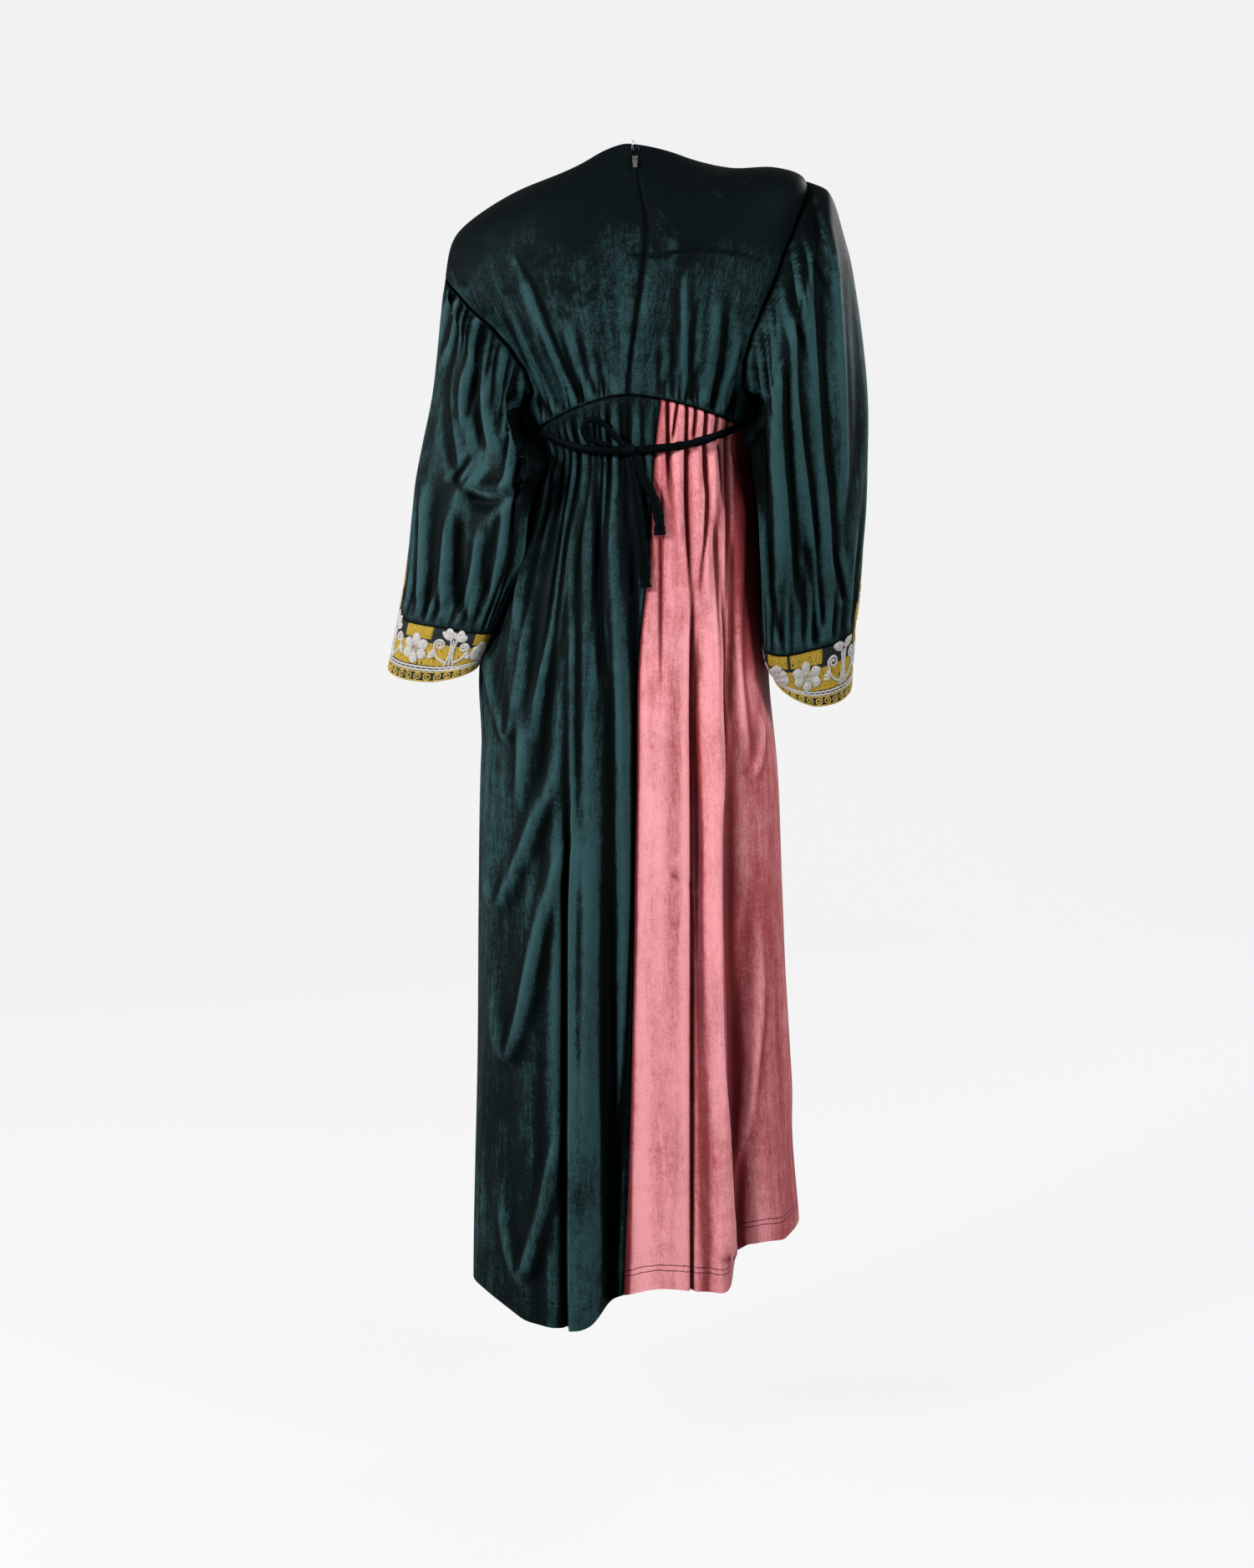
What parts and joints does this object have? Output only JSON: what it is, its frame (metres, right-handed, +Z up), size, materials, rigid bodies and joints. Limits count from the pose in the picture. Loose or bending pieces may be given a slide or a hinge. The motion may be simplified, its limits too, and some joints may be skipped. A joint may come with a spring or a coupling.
{
  "type": "dress",
  "caption": "Long-sleeved velvet dress in hollow worn form, with a zipped back bodice, a gathered high waist with a tie, a skirt of two colours, full sleeves and embroidered cuffs.",
  "frame": {"origin": "between the shoulders, at the height of the neck's base, where the dress is held up", "axes": "+Z up, +Y out of the back with the zip, +X to the wearer's left"},
  "size_m": [0.5675, 0.324, 1.433],
  "materials": {
    "green_velvet": "dark green crushed velvet",
    "pink_velvet": "rose pink crushed velvet",
    "embroidered_velvet": "dark cloth under couched white cord and yellow thread",
    "zip_tape": "woven dark tape",
    "zip_metal": "worn metal"
  },
  "bodies": {
    "dress": {"bodice_back_left": "green_velvet", "bodice_back_right": "green_velvet", "bodice_front": "green_velvet", "skirt_back_green": "green_velvet", "skirt_front_green": "green_velvet", "sleeve_left": "green_velvet", "sleeve_right": "green_velvet", "tie_left": "green_velvet", "tie_right": "green_velvet", "tie_knot": "green_velvet", "tie_loop": "green_velvet", "tie_tail_short": "green_velvet", "tie_tail_long": "green_velvet", "skirt_back_pink": "pink_velvet", "skirt_front_pink": "pink_velvet", "cuff_left": "embroidered_velvet", "cuff_right": "embroidered_velvet", "zip_tape": "zip_tape", "zip_slider": "zip_metal"},
    "pull_tab": {"zip_pull_tab": "zip_metal"}
  },
  "joints": [
    {"name": "pull_tab_turn", "type": "hinge", "parent": "dress", "child": "pull_tab", "pos_m": [-0.00908, 0.07725, 0.02181], "axis": [1, 0, 0], "range_deg": [0, 150]}
  ]
}
